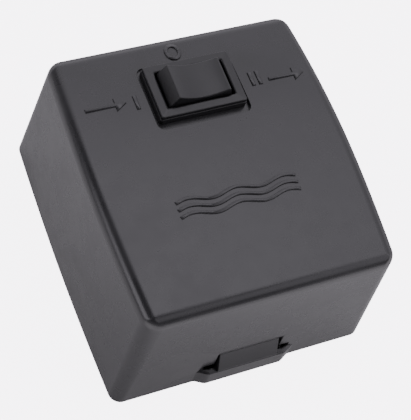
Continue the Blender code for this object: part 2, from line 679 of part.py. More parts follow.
def make_capacitor(case, resin, steel, zinc):
    """Run capacitor with its resin face, and the strap that holds it to the base."""
    body = new_object("run_capacitor", prism(capacitor_outline(0.0, 1.2 * MM, 3), PLATE + GAP, CAP_TOP), case)
    well_z = CAP_TOP - 2.2 * MM
    cut(body, prism(capacitor_outline(CAP_WALL, 0.6 * MM, 2), well_z, CAP_TOP + 1 * MM))
    smooth(body)
    fill = prism(capacitor_outline(CAP_WALL + GAP, 0.6 * MM, 2), well_z + GAP, CAP_TOP - 0.6 * MM)
    smooth(new_object("capacitor_resin", fill, resin))
    inside = CAP_HALF_X + GAP
    outside = inside + STRAP_THICK
    low_z = STRAP_BOSS + GAP
    foot_z = low_z + STRAP_THICK
    strap_z = CAP_TOP + GAP
    inner_half = [(STRAP_FOOT, low_z), (inside, low_z), (inside, strap_z)]
    outer_half = [(outside, strap_z + STRAP_THICK), (outside, foot_z), (STRAP_FOOT, foot_z)]
    profile = inner_half + [(-x, z) for x, z in reversed(inner_half)]
    profile += [(-x, z) for x, z in reversed(outer_half)] + outer_half
    strap = new_object("capacitor_strap", prism(profile, CAP_Y - STRAP_HALF, CAP_Y + STRAP_HALF, "y"), zinc)
    hole_r = SMALL_SCREW[2] + 0.4 * MM
    for side, name in ((-1, "strap_screw_1"), (1, "strap_screw_2")):
        centre = (side * STRAP_SCREW_X, CAP_Y)
        cut(strap, stacked([(hole_r, low_z - 1 * MM), (hole_r, foot_z + 1 * MM)], centre, DRILL_STEPS))
        add_screw(name, centre, foot_z + GAP, SMALL_SCREW, 2.8 * MM, steel)


def make_inlet(rubber, mat, steel):
    """Rubber grommet in the base's inlet hole, and the clamp that grips the cable beside it."""
    neck = INLET_HOLE_R - GAP
    flange_z = PLATE + GAP
    lip_z = PLATE + 3.4 * MM
    profile = [(INLET_BORE_R, 0.2 * MM), (neck + 1.0 * MM, 0.2 * MM), (neck + 1.0 * MM, 0.6 * MM),
               (neck, 0.6 * MM), (neck, flange_z), (neck + 1.8 * MM, flange_z),
               (neck + 1.2 * MM, PLATE + 1.7 * MM), (INLET_BORE_R + 0.8 * MM, lip_z), (INLET_BORE_R, lip_z)]
    smooth(new_object("cable_grommet", turned(profile, (INLET_X, INLET_Y), 24), rubber))
    low = CLAMP_BOSS + GAP
    high = low + CLAMP_THICK
    half = CLAMP_SCREW_X + 3.4 * MM
    arch_steps = 5
    profile = [(INLET_X + half, high), (INLET_X - half, high), (INLET_X - half, low)]
    for k in range(arch_steps + 1):
        turn = math.pi * (1 - k / arch_steps)
        profile.append((INLET_X + 3.6 * MM * math.cos(turn), low + 1.9 * MM * math.sin(turn)))
    profile.append((INLET_X + half, low))
    saddle = prism(profile, CLAMP_Y - CLAMP_HALF_Y, CLAMP_Y + CLAMP_HALF_Y, "y")
    clamp = new_object("cable_clamp", saddle, mat)
    for side, name in ((-1, "cable_clamp_screw_1"), (1, "cable_clamp_screw_2")):
        centre = (INLET_X + side * CLAMP_SCREW_X, CLAMP_Y)
        hole = [(SCREW_HOLE_R, low - 1 * MM), (SCREW_HOLE_R, high + 1 * MM)]
        cut(clamp, stacked(hole, centre, DRILL_STEPS))
        add_screw(name, centre, high + GAP, SMALL_SCREW, 8.2 * MM, steel)


def make_leads(blue, brown, black):
    """Leads from the switch's sleeves and from the capacitor to the terminal block."""
    sleeve_end = SLEEVE_LOW - GAP
    stop_y = POLE_CLAMP_END + GAP
    switch_leads = (("lead_left", -BLADE_X, POLES[0], blue), ("lead_mid", 0.0, POLES[1], brown),
                    ("lead_right", BLADE_X, POLES[2], black))
    for name, x, pole, mat in switch_leads:
        drift = pole - x
        points = [(x, SWITCH_Y, sleeve_end),
                  (x, SWITCH_Y, sleeve_end - 2.5 * MM),
                  (x + 0.15 * drift, SWITCH_Y - 2.0 * MM, 10.5 * MM),
                  (x + 0.6 * drift, SWITCH_Y - 6.5 * MM, 7.4 * MM),
                  (pole, SWITCH_Y - 11.5 * MM, POLE_Z),
                  (pole, stop_y + 1.5 * MM, POLE_Z),
                  (pole, stop_y, POLE_Z)]
        smooth(new_object(name, tube(smooth_route(points), LEAD_R), mat))
    exit_y = CAP_Y + CAP_HALF_Y - 3.2 * MM
    drop_y = exit_y + 6.4 * MM
    for name, x, mat in (("capacitor_lead_1", POLES[0], blue), ("capacitor_lead_2", POLES[2], black)):
        points = [(x, exit_y, CAP_TOP - 0.3 * MM),
                  (x, exit_y, CAP_TOP + 2.0 * MM),
                  (x, exit_y + 1.6 * MM, CAP_TOP + 4.4 * MM),
                  (x, exit_y + 4.6 * MM, CAP_TOP + 3.6 * MM),
                  (x, drop_y - 0.2 * MM, CAP_TOP - 1.5 * MM),
                  (x, drop_y, 18 * MM),
                  (x, drop_y, 11 * MM),
                  (x, drop_y + 1.2 * MM, 7.6 * MM),
                  (x, -BLOCK_HALF_Y - 1.5 * MM, POLE_Z),
                  (x, -stop_y - 0.6 * MM, POLE_Z),
                  (x, -stop_y, POLE_Z)]
        smooth(new_object(name, tube(smooth_route(points), LEAD_R), mat))


# ---------------------------------------------------------------- assembly

clear_scene()
FRAME = bpy.data.objects.new("box_middle", None)
FRAME.location = (0.0, MID_Y, 0.0)
bpy.context.scene.collection.objects.link(FRAME)

shell_black = material("shell_black", (0.045, 0.044, 0.048), 0.42)
switch_black = material("switch_black", (0.035, 0.035, 0.037), 0.38)
base_black = material("base_black", (0.04, 0.04, 0.042), 0.5)
rubber_black = material("rubber_black", (0.02, 0.02, 0.02), 0.7)
nylon_white = material("nylon_white", (0.78, 0.77, 0.72), 0.5)
capacitor_grey = material("capacitor_grey", (0.30, 0.31, 0.33), 0.5)
resin_dark = material("resin_dark", (0.06, 0.06, 0.065), 0.35)
steel = material("steel", (0.62, 0.62, 0.63), 0.3, 1.0)
zinc_plate = material("zinc_plate", (0.66, 0.67, 0.68), 0.35, 1.0)
brass = material("brass", (0.78, 0.62, 0.30), 0.3, 1.0)
copper = material("copper_alloy", (0.80, 0.55, 0.38), 0.3, 1.0)
sleeve_clear = material("sleeve_nylon", (0.70, 0.71, 0.70), 0.4)
lead_blue = material("lead_blue", (0.05, 0.13, 0.42), 0.45)
lead_brown = material("lead_brown", (0.20, 0.09, 0.04), 0.45)
lead_black = material("lead_black", (0.03, 0.03, 0.03), 0.45)

make_cover(shell_black)
make_base(base_black)
make_latch(base_black)
make_housing(switch_black)
make_rocker(switch_black, steel, brass)
make_contacts(copper)
make_sleeves(sleeve_clear)
make_block(nylon_white, brass, steel)
make_capacitor(capacitor_grey, resin_dark, steel, zinc_plate)
make_inlet(rubber_black, nylon_white, steel)
make_leads(lead_blue, lead_brown, lead_black)
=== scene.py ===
"""Looks for the fan reversing switch box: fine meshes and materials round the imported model.

Lengths are in metres; MM turns millimetres into metres. Pieces are drawn from the middle of the
cover, and MID_Y moves them into the frame's place.
"""
import json
import math

import bmesh
import bpy
from mathutils import Matrix, Vector


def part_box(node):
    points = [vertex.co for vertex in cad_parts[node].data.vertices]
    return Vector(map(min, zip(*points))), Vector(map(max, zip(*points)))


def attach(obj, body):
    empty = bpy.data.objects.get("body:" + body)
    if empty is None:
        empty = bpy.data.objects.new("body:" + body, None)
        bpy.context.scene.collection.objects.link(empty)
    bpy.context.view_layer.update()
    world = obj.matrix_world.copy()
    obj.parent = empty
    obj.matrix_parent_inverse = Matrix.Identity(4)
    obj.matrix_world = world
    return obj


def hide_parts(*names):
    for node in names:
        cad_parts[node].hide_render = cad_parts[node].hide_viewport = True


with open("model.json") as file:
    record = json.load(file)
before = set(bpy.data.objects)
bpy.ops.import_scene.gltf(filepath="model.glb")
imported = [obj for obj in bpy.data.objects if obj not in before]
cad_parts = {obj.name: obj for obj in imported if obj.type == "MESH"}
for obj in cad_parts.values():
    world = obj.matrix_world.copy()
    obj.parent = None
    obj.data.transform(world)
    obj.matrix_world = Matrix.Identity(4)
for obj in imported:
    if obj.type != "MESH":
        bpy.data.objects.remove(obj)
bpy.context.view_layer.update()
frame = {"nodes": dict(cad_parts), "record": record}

MM = 0.001
GAP = 0.3 * MM

# ---------------------------------------------------------------- places from the frame, and sizes

COVER_HIGH = Vector(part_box("cover")[1])
HOUSING_LOW, HOUSING_HIGH = (Vector(corner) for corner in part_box("switch_housing"))
ARM_LOW, ARM_HIGH = (Vector(corner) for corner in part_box("latch_arm"))
GROMMET_LOW, GROMMET_HIGH = (Vector(corner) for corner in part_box("cable_grommet"))

# Cover: half sizes at its rear rim, the crown of its front, the draft and the bow of its walls
BRIDGE_BULGE = 1.8 * MM
MID_Y = BRIDGE_BULGE / 2
HALF_W = 40.15 * MM
HALF_H = COVER_HIGH.y - MID_Y
EDGE_Z = 47.5 * MM
CROWN = 1.62 * MM
FACE_RISE = 0.3 * MM
FACE_SKEW = 0.85 * MM
DRAFT_X = 0.0633
DRAFT_Y = 0.050
BOW_REAR = 1.05 * MM
BOW_FRONT = 2.2 * MM
BOW_POWER = 1.8
CORNER_REAR = 3.4 * MM
CORNER_FRONT = 4.7 * MM
CORNER_LEAST = 0.5 * MM
CORNER_TIGHTEN = 0.8
EDGE_FILLET = 3.5 * MM
WALL = 2.0 * MM
FRONT_WALL = 2.4 * MM
WALL_LEVELS = (0.0, 0.4 * MM, 15 * MM, 30 * MM)
CORNER_STEPS = 12
SIDE_STEPS = 28
FILLET_STEPS = 10

# Switch: the cover's pocket round it, its bezel, body and cavity, the rocker and what is under it
SWITCH_Y = (HOUSING_LOW.y + HOUSING_HIGH.y) / 2 - MID_Y
POCKET_FLOOR = 48.0 * MM
POCKET_LEFT = 14.3 * MM
POCKET_RIGHT = 14.0 * MM
POCKET_LOW = 11.1 * MM
POCKET_HIGH = 9.6 * MM
POCKET_CORNER = 2.2 * MM
BEZEL_HALF_X = HOUSING_HIGH.x
BEZEL_HALF_Y = (HOUSING_HIGH.y - HOUSING_LOW.y) / 2
BEZEL_BOTTOM = 48.05 * MM
BEZEL_TOP = HOUSING_HIGH.z
BODY_HALF_X = 11.4 * MM
BODY_HALF_Y = 7.1 * MM
BODY_BOTTOM = HOUSING_LOW.z
CAVITY_HALF_X = 10.2 * MM
CAVITY_HALF_Y = 5.8 * MM
CAVITY_FLOOR = 35.0 * MM
PIVOT = Vector((0.0, SWITCH_Y, 49.0 * MM))
REST_TILT = math.radians(5.0)
ROCKER_HALF_Y = 5.6 * MM
RIDGE_X = 8.0 * MM
RIDGE_Z = 5.65 * MM
DISH = 1.8 * MM
PIN_R = 1.0 * MM
PLUNGER_R = 1.35 * MM
BLADE_X = 7.5 * MM
BLADE_SLOT = Vector((0.7, 3.5, 1.0)) * MM

# Latch: the bridge under the window in the lower wall, and the arm in the window
BRIDGE_THICK = 1.6 * MM
BRIDGE_HEIGHT = 6.8 * MM
BRIDGE_FLAT = 11.6 * MM
BRIDGE_END = 16.1 * MM
BRIDGE_SLOPE_DROP = 0.25 * MM
WINDOW_HALF = 10.2 * MM
WINDOW_FOOT_HALF = 13.4 * MM
WINDOW_TOP = 13.9 * MM
WINDOW_FOOT_TOP = 9.0 * MM
WINDOW_LIP = 0.5 * MM
WINDOW_LIP_RISE = 4.0 * MM
WINDOW_SIDE_LIP = 0.25 * MM
ARM_HALF = ARM_HIGH.x
ARM_AXIS_Y = -43.4 * MM
ARM_AXIS_Z = 3.3 * MM
ARM_THICK = 1.6 * MM
ARM_TOP = ARM_HIGH.z

# Base plate: what stands on it starts at ROOT_Z, inside the plate
PLATE = 2.2 * MM
PLATE_FIT = WALL + GAP
ROOT_Z = 1 * MM
HOOK_X = 22.0 * MM
HOOK_HALF = 3.5 * MM
HOOK_THICK = 1.45 * MM
HOOK_REACH = 1.2 * MM
RIB_INSET = 1.6 * MM
RIB_ENDS = (-32 * MM, 30 * MM)
TAB_HALF = 11.4 * MM
TAB_END_HALF = 13.0 * MM
CAP_Y = -26.5 * MM
FENCE_X = 20.1 * MM
FENCE_HALF = 0.7 * MM
FENCE_HEIGHT = 9 * MM
STRAP_BOSS_X = 23.6 * MM
STRAP_BOSS_HEIGHT = 2.4 * MM
CLAMP_BOSS_X = 8.0 * MM
CLAMP_BOSS_Y = 6.0 * MM
CLAMP_BOSS_HEIGHT = 7.0 * MM
BOSS_R = 3.0 * MM
BLOCK_HOLES = ((-1.5 * MM, 0.0), (17.5 * MM, 0.0))
SCREW_HOLE_R = 1.7 * MM
WALL_HOLE = Vector((30.0, 35.0)) * MM
WALL_HOLE_R = 2.25 * MM
INLET = (GROMMET_LOW + GROMMET_HIGH) / 2 - Vector((0, MID_Y, 0))
INLET_R = 7.5 * MM
INLET_REBATE_R = 8.9 * MM

# Moulded marks on the face
MARK_HEIGHT = 0.35 * MM
MARK_LINE = 1.0 * MM
MARK_Y = 21.6 * MM
NUMERAL_HEIGHT = 4.4 * MM
ARROW_HEAD = 3.2 * MM
WAVE_LINE = 0.85 * MM
WAVE_HALF = 18 * MM
WAVE_Y = -12.4 * MM
WAVE_PITCH = 2.2 * MM
WAVE_SWING = 0.75 * MM
WAVE_COUNT = 2.5

# Camera: lens and sensor in Blender's millimetres, and the directions of its picture's right and depth
LENS = 122.9
SENSOR_WIDTH = 36.0
CAMERA_PLACE = Vector((-142.28, -154.46, 373.11)) * MM
CAMERA_RIGHT = Vector((0.9093, -0.3568, 0.2143))
CAMERA_FORWARD = Vector((0.3488, 0.3724, -0.8600))

# Glows of the tent: an axis, the cosines to it where the glow starts and is full, and its level.
# The roof's own light ends across two axes, and it is shaded away from a third.
ROOF_LIGHT = 1.3
ROOF_HEART = ((0.12, 0.05, 1.0), 0.84, 0.965, 1.15)
ROOF_EDGES = ((0.82, 0.57, -0.02), (0.594, 0.805, -0.15))
ROOF_SOFTNESS = 0.05
ROOF_SHADE = ((-0.8, 0.0, 0.6), -0.55, 0.0)
ROOF_SHADE_DEPTH = 0.5
SIDE_LIGHT = 0.19
LOW_SIDE_LIGHT = ((0.0, 0.0, -1.0), -0.5, -0.1, 0.42)
LAMPS = (((-0.875, 0.1, 0.46), 0.945, 0.985, 3.0),
         ((0.58, -0.52, 0.72), 0.88, 0.975, 1.3))
TENT_TINT = (1.0, 0.965, 1.05, 1.0)
BACKDROP_LIGHT = 6.0
# Glow of the floor: a direction along it, the reach where the glow starts and is full, and its level
FLOOR_GLOWS = (((-0.6, -0.8, 0.0), -0.05, 0.05, 0.26),
               ((-1.0, 0.0, 0.0), 0.055, 0.105, 0.42),
               ((0.0, -1.0, 0.0), 0.055, 0.11, 1.02))
# It is dimmer round one corner of the box: the distances where a glow starts and is full, and its level
NEAR_CORNER = (-0.05, -0.055, 0.0)
CORNER_GLOW = (0.015, 0.085, 0.2)
FLOOR_HALF = 3.0
FLOOR_TINT = (1.0, 0.96, 1.02, 1.0)
FLOOR_GREY = (0.45, 0.45, 0.45, 1.0)
FLOOR_ROUGHNESS = 0.9

# Materials: depth of the plastic's grain, how much smoother its edges are, and colours
PLASTIC_GRAIN = 0.05 * MM
EDGE_POLISH = 0.048
RUBBER_DARK, RUBBER_LIGHT = (0.018, 0.018, 0.018), (0.034, 0.033, 0.032)
NYLON_RADIUS = (0.8 * MM, 0.7 * MM, 0.6 * MM)


# ---------------------------------------------------------------- nodes that lights and materials share

def calculate(tree, operation, first, second):
    """Maths node on two values, each a socket or a number."""
    node = tree.nodes.new("ShaderNodeMath")
    node.operation = operation
    for socket, value in zip(node.inputs, (first, second)):
        if isinstance(value, float):
            socket.default_value = value
        else:
            tree.links.new(value, socket)
    return node.outputs["Value"]


def measure(tree, operation, vector, reference):
    """Number from a vector and a fixed one, such as their distance or their dot product."""
    node = tree.nodes.new("ShaderNodeVectorMath")
    node.operation = operation
    node.inputs[1].default_value = reference
    tree.links.new(vector, node.inputs[0])
    return node.outputs["Value"]


def ease(tree, value, low, high, level=1.0):
    """Rise smoothly from nothing where value is low to level where it is high."""
    node = tree.nodes.new("ShaderNodeMapRange")
    node.interpolation_type = "SMOOTHSTEP"
    node.inputs["From Min"].default_value = low
    node.inputs["From Max"].default_value = high
    node.inputs["To Max"].default_value = level
    tree.links.new(value, node.inputs["Value"])
    return node.outputs["Result"]


def spread(tree, value, low, high, low_in=0.3, high_in=0.7):
    """Map the range from low_in to high_in onto the one from low to high."""
    node = tree.nodes.new("ShaderNodeMapRange")
    node.inputs["From Min"].default_value = low_in
    node.inputs["From Max"].default_value = high_in
    node.inputs["To Min"].default_value = low
    node.inputs["To Max"].default_value = high
    tree.links.new(value, node.inputs["Value"])
    return node.outputs["Result"]


def noise(tree, coordinates, scale, detail=4.0, roughness=0.55):
    """Fractal noise; most of its values lie between 0.3 and 0.7."""
    node = tree.nodes.new("ShaderNodeTexNoise")
    node.inputs["Scale"].default_value = scale
    node.inputs["Detail"].default_value = detail
    node.inputs["Roughness"].default_value = roughness
    tree.links.new(coordinates, node.inputs["Vector"])
    return node.outputs["Fac"]


def blend_colour(tree, value, low, high):
    """Colour that goes from low to high with a noise value."""
    node = tree.nodes.new("ShaderNodeMix")
    node.data_type = "RGBA"
    node.inputs["A"].default_value = (*low, 1)
    node.inputs["B"].default_value = (*high, 1)
    tree.links.new(spread(tree, value, 0.0, 1.0), node.inputs["Factor"])
    return node.outputs["Result"]


def bump(tree, height, strength, distance, under=None):
    """Normal of a relief, laid on another one where under is given."""
    node = tree.nodes.new("ShaderNodeBump")
    node.inputs["Strength"].default_value = strength
    node.inputs["Distance"].default_value = distance
    tree.links.new(height, node.inputs["Height"])
    if under:
        tree.links.new(under, node.inputs["Normal"])
    return node.outputs["Normal"]


# ---------------------------------------------------------------- camera, light, stage

def add_camera():
    """Long-lens view down onto the box from its lower left, rolled as the box lies in the picture."""
    camera = bpy.data.cameras.new("camera")
    camera.sensor_fit = "HORIZONTAL"
    camera.sensor_width = SENSOR_WIDTH
    camera.lens = LENS
    camera.clip_start = 10 * MM
    obj = bpy.data.objects.new("camera", camera)
    right = CAMERA_RIGHT.normalized()
    forward = CAMERA_FORWARD.normalized()
    turn = Matrix((right, right.cross(forward), -forward)).transposed()
    place = CAMERA_PLACE + Vector((0, MID_Y, 0))
    obj.matrix_world = Matrix.Translation(place) @ turn.to_4x4()
    bpy.context.scene.collection.objects.link(obj)
    bpy.context.scene.camera = obj


def add_studio():
    """Light tent: a roof over the far side, dimmer near sides with two soft lamps, and a pale backdrop."""
    world = bpy.data.worlds.new("studio")
    world.use_nodes = True
    tree = world.node_tree
    nodes, links = tree.nodes, tree.links
    direction = nodes.new("ShaderNodeTexCoord").outputs["Generated"]

    def glow(towards, low, high, level=1.0):
        """Light from the directions whose cosine to an axis lies above low, full from high on."""
        facing = measure(tree, "DOT_PRODUCT", direction, Vector(towards).normalized())
        return ease(tree, facing, low, high, level)

    roof = calculate(tree, "ADD", glow(*ROOF_HEART), ROOF_LIGHT)
    for edge in ROOF_EDGES:
        roof = calculate(tree, "MULTIPLY", roof, glow(edge, -ROOF_SOFTNESS, ROOF_SOFTNESS))
    unshaded = calculate(tree, "ADD", glow(*ROOF_SHADE, ROOF_SHADE_DEPTH), 1 - ROOF_SHADE_DEPTH)
    total = calculate(tree, "ADD", calculate(tree, "MULTIPLY", roof, unshaded), SIDE_LIGHT)
    for light in (LOW_SIDE_LIGHT, *LAMPS):
        total = calculate(tree, "ADD", total, glow(*light))
    tent = nodes["Background"]
    tent.inputs["Color"].default_value = TENT_TINT
    links.new(total, tent.inputs["Strength"])
    backdrop = nodes.new("ShaderNodeBackground")
    backdrop.inputs["Color"].default_value = (1.0, 1.0, 1.0, 1.0)
    backdrop.inputs["Strength"].default_value = BACKDROP_LIGHT
    seen = nodes.new("ShaderNodeMixShader")
    links.new(nodes.new("ShaderNodeLightPath").outputs["Is Camera Ray"], seen.inputs["Fac"])
    links.new(tent.outputs["Background"], seen.inputs[1])
    links.new(backdrop.outputs["Background"], seen.inputs[2])
    links.new(seen.outputs["Shader"], nodes["World Output"].inputs["Surface"])
    bpy.context.scene.world = world


def add_floor():
    """Glowing table: it lights the walls from below, by direction, and shows as a pale ground."""
    mesh = bpy.data.meshes.new("floor")
    bm = bmesh.new()
    bmesh.ops.create_grid(bm, x_segments=1, y_segments=1, size=FLOOR_HALF)
    bm.to_mesh(mesh)
    bm.free()
    floor = bpy.data.objects.new("floor", mesh)
    bpy.context.scene.collection.objects.link(floor)
    mat = bpy.data.materials.new("floor")
    mat.use_nodes = True
    tree = mat.node_tree
    nodes, links = tree.nodes, tree.links
    shader = nodes["Principled BSDF"]
    shader.inputs["Base Color"].default_value = FLOOR_GREY
    shader.inputs["Roughness"].default_value = FLOOR_ROUGHNESS
    shader.inputs["Emission Color"].default_value = FLOOR_TINT
    place = nodes.new("ShaderNodeTexCoord").outputs["Object"]
    total = ease(tree, measure(tree, "DISTANCE", place, NEAR_CORNER), *CORNER_GLOW)
    for towards, *reach_and_level in FLOOR_GLOWS:
        glow = ease(tree, measure(tree, "DOT_PRODUCT", place, towards), *reach_and_level)
        total = calculate(tree, "ADD", total, glow)
    level = nodes.new("ShaderNodeMix")
    level.inputs["B"].default_value = BACKDROP_LIGHT
    links.new(nodes.new("ShaderNodeLightPath").outputs["Is Camera Ray"], level.inputs["Factor"])
    links.new(total, level.inputs["A"])
    links.new(level.outputs["Result"], shader.inputs["Emission Strength"])
    mesh.materials.append(mat)


# ---------------------------------------------------------------- materials

def new_material(name, roughness, metallic=0.0, specular=0.5):
    """A plain material, with the parts that its maker needs: node tree, shader and coordinates."""
    mat = bpy.data.materials.new(name)
    mat.use_nodes = True
    shader = mat.node_tree.nodes["Principled BSDF"]
    shader.inputs["Roughness"].default_value = roughness
    shader.inputs["Metallic"].default_value = metallic
    shader.inputs["Specular IOR Level"].default_value = specular
    place = mat.node_tree.nodes.new("ShaderNodeTexCoord").outputs["Object"]
    return mat, mat.node_tree, shader, place


def moulded_plastic(name, dark, light, roughness, specular=0.5):
    """Moulded plastic: faint blotches, a fine spark-eroded grain and slightly polished edges."""
    mat, tree, shader, place = new_material(name, roughness, specular=specular)
    blotch = noise(tree, place, scale=55.0, detail=3.0)
    streak = noise(tree, place, scale=210.0, detail=5.0, roughness=0.6)
    grit = noise(tree, place, scale=2600.0, detail=2.0)
    edges = tree.nodes.new("ShaderNodeNewGeometry").outputs["Pointiness"]
    rough = calculate(tree, "ADD", spread(tree, blotch, roughness - 0.04, roughness + 0.04),
                      spread(tree, streak, -0.03, 0.03))
    rough = calculate(tree, "SUBTRACT", rough, spread(tree, edges, 0.0, EDGE_POLISH, low_in=0.5, high_in=0.6))
    relief = bump(tree, streak, strength=0.06, distance=0.08 * MM)
    relief = bump(tree, grit, strength=0.25, distance=PLASTIC_GRAIN, under=relief)
    tree.links.new(blend_colour(tree, blotch, dark, light), shader.inputs["Base Color"])
    tree.links.new(rough, shader.inputs["Roughness"])
    tree.links.new(relief, shader.inputs["Normal"])
    return mat


def soft_rubber(name):
    """Matt rubber with a little dust."""
    mat, tree, shader, place = new_material(name, 0.75, specular=0.35)
    dust = noise(tree, place, scale=300.0, detail=5.0)
    relief = bump(tree, noise(tree, place, scale=1500.0), strength=0.3, distance=0.05 * MM)
    tree.links.new(blend_colour(tree, dust, RUBBER_DARK, RUBBER_LIGHT), shader.inputs["Base Color"])
    tree.links.new(spread(tree, dust, 0.68, 0.85), shader.inputs["Roughness"])
    tree.links.new(relief, shader.inputs["Normal"])
    return mat


def plated_metal(name, dark, light, roughness):
    """Rolled or turned metal: stretched fine noise for its tool marks and a patchy plating."""
    mat, tree, shader, place = new_material(name, roughness, metallic=1.0)
    stretch = tree.nodes.new("ShaderNodeMapping")
    stretch.inputs["Scale"].default_value = (1.0, 1.0, 0.12)
    tree.links.new(place, stretch.inputs["Vector"])
    marks = noise(tree, stretch.outputs["Vector"], scale=900.0, roughness=0.7)
    patch = noise(tree, place, scale=120.0, detail=3.0)
    tree.links.new(blend_colour(tree, patch, dark, light), shader.inputs["Base Color"])
    tree.links.new(spread(tree, marks, roughness - 0.08, roughness + 0.12), shader.inputs["Roughness"])
    tree.links.new(bump(tree, marks, strength=0.15, distance=0.05 * MM), shader.inputs["Normal"])
    return mat


def clear_nylon(name, dark, light, roughness):
    """Pale nylon: slightly milky, with faint flow marks."""
    mat, tree, shader, place = new_material(name, roughness)
    flow = noise(tree, place, scale=140.0)
    relief = bump(tree, noise(tree, place, scale=1200.0), strength=0.12, distance=0.03 * MM)
    tree.links.new(blend_colour(tree, flow, dark, light), shader.inputs["Base Color"])
    tree.links.new(spread(tree, flow, roughness - 0.06, roughness + 0.06), shader.inputs["Roughness"])
    tree.links.new(relief, shader.inputs["Normal"])
    shader.inputs["Subsurface Weight"].default_value = 0.15
    shader.inputs["Subsurface Radius"].default_value = NYLON_RADIUS
    shader.inputs["Subsurface Scale"].default_value = 1.0
    return mat


# ---------------------------------------------------------------- mesh helpers

def new_object(name, bm):
    """Turn a bmesh into an object in the frame's place, with its faces turned outwards."""
    bmesh.ops.translate(bm, verts=bm.verts, vec=(0, MID_Y, 0))
    bmesh.ops.recalc_face_normals(bm, faces=bm.faces)
    mesh = bpy.data.meshes.new(name)
    bm.to_mesh(mesh)
    bm.free()
    obj = bpy.data.objects.new(name, mesh)
    bpy.context.scene.collection.objects.link(obj)
    return obj


def new_piece(name, bm, mat, body="root", replaces=(), degrees=32.0):
    """A visible piece with its material, shaded smooth up to an angle, that rides on its body."""
    obj = new_object(name, bm)
    obj.data.materials.append(mat)
    obj.data.shade_smooth()
    obj.data.set_sharp_from_angle(angle=math.radians(degrees))
    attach(obj, body)
    if replaces:
        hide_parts(*replaces)
    return obj


def strips(bm, rings):
    """Lay faces between each ring of points and the next, and return the rings' vertices."""
    loops = [[bm.verts.new(point) for point in ring] for ring in rings]
    count = len(loops[0])
    for low, high in zip(loops, loops[1:]):
        for k in range(count):
            n = (k + 1) % count
            bm.faces.new((low[k], low[n], high[n], high[k]))
    return loops


def loft(rings):
    """Join rings of equal length into one closed solid with flat ends."""
    bm = bmesh.new()
    loops = strips(bm, rings)
    bm.faces.new(list(reversed(loops[0])))
    bm.faces.new(loops[-1])
    return bm


def prism(outline, low, high, axis):
    """Extrude an outline of (u, v) points along the x or y axis, from low to high."""
    if axis == "x":
        return loft([[(w, u, v) for u, v in outline] for w in (low, high)])
    return loft([[(u, w, v) for u, v in outline] for w in (low, high)])


def box(low, high):
    """Block between two opposite corners."""
    (x0, y0, z0), (x1, y1, z1) = low, high
    corners = ((x0, y0), (x1, y0), (x1, y1), (x0, y1))
    return loft([[(x, y, z) for x, y in corners] for z in (z0, z1)])


def rounded_rectangle(x0, x1, y0, y1, radius, steps=8):
    """Points of a rectangle with round corners, counter-clockwise."""
    points = []
    for cx, cy, start in ((x1 - radius, y0 + radius, -90), (x1 - radius, y1 - radius, 0),
                          (x0 + radius, y1 - radius, 90), (x0 + radius, y0 + radius, 180)):
        for k in range(steps + 1):
            turn = math.radians(start + 90 * k / steps)
            points.append((cx + radius * math.cos(turn), cy + radius * math.sin(turn)))
    return points


def circle(cx, cy, radius, steps):
    """Points of a circle, counter-clockwise."""
    turns = [math.tau * k / steps for k in range(steps)]
    return [(cx + radius * math.cos(turn), cy + radius * math.sin(turn)) for turn in turns]


def stacked(profile, centre, steps=40):
    """A solid of stacked circles, each given as (radius, z)."""
    return loft([[(x, y, z) for x, y in circle(*centre, r, steps)] for r, z in profile])


def turned(profile, centre, steps=64):
    """Turn a closed profile of (radius, z) points round the vertical through centre."""
    bm = bmesh.new()
    rings = []
    for k in range(steps):
        turn = math.tau * k / steps
        rings.append([bm.verts.new((centre[0] + r * math.cos(turn), centre[1] + r * math.sin(turn), z))
                      for r, z in profile])
    for k in range(steps):
        here, there = rings[k], rings[(k + 1) % steps]
        for i in range(len(profile)):
            j = (i + 1) % len(profile)
            bm.faces.new((here[i], there[i], there[j], here[j]))
    return bm


def apply_modifiers(obj):
    """Put what the modifiers make of a mesh in its place."""
    bpy.context.view_layer.update()
    seen = obj.evaluated_get(bpy.context.evaluated_depsgraph_get())
    result = bpy.data.meshes.new_from_object(seen)
    obj.modifiers.clear()
    obj.data = result


def combine(target, bm, operation):
    """Join a solid to a piece or cut it away."""
    tool = new_object("tool", bm)
    step = target.modifiers.new("combine", "BOOLEAN")
    step.solver = "EXACT"
    step.operation = operation
    step.object = tool
    apply_modifiers(target)
    bpy.data.objects.remove(tool)


def round_edges(obj, width, segments, degrees=32.0):
    """Round every edge sharper than the given angle."""
    step = obj.modifiers.new("rounding", "BEVEL")
    step.width = width
    step.segments = segments
    step.limit_method = "ANGLE"
    step.angle_limit = math.radians(degrees)
    apply_modifiers(obj)


def soft_edges(mesh, degrees):
    """The edges, as pairs of vertex numbers, whose two faces meet at less than an angle."""
    bm = bmesh.new()
    bm.from_mesh(mesh)
    limit = math.radians(degrees)
    soft = {frozenset(vert.index for vert in edge.verts) for edge in bm.edges
            if len(edge.link_faces) == 2 and edge.calc_face_angle() < limit}
    bm.free()
    return soft


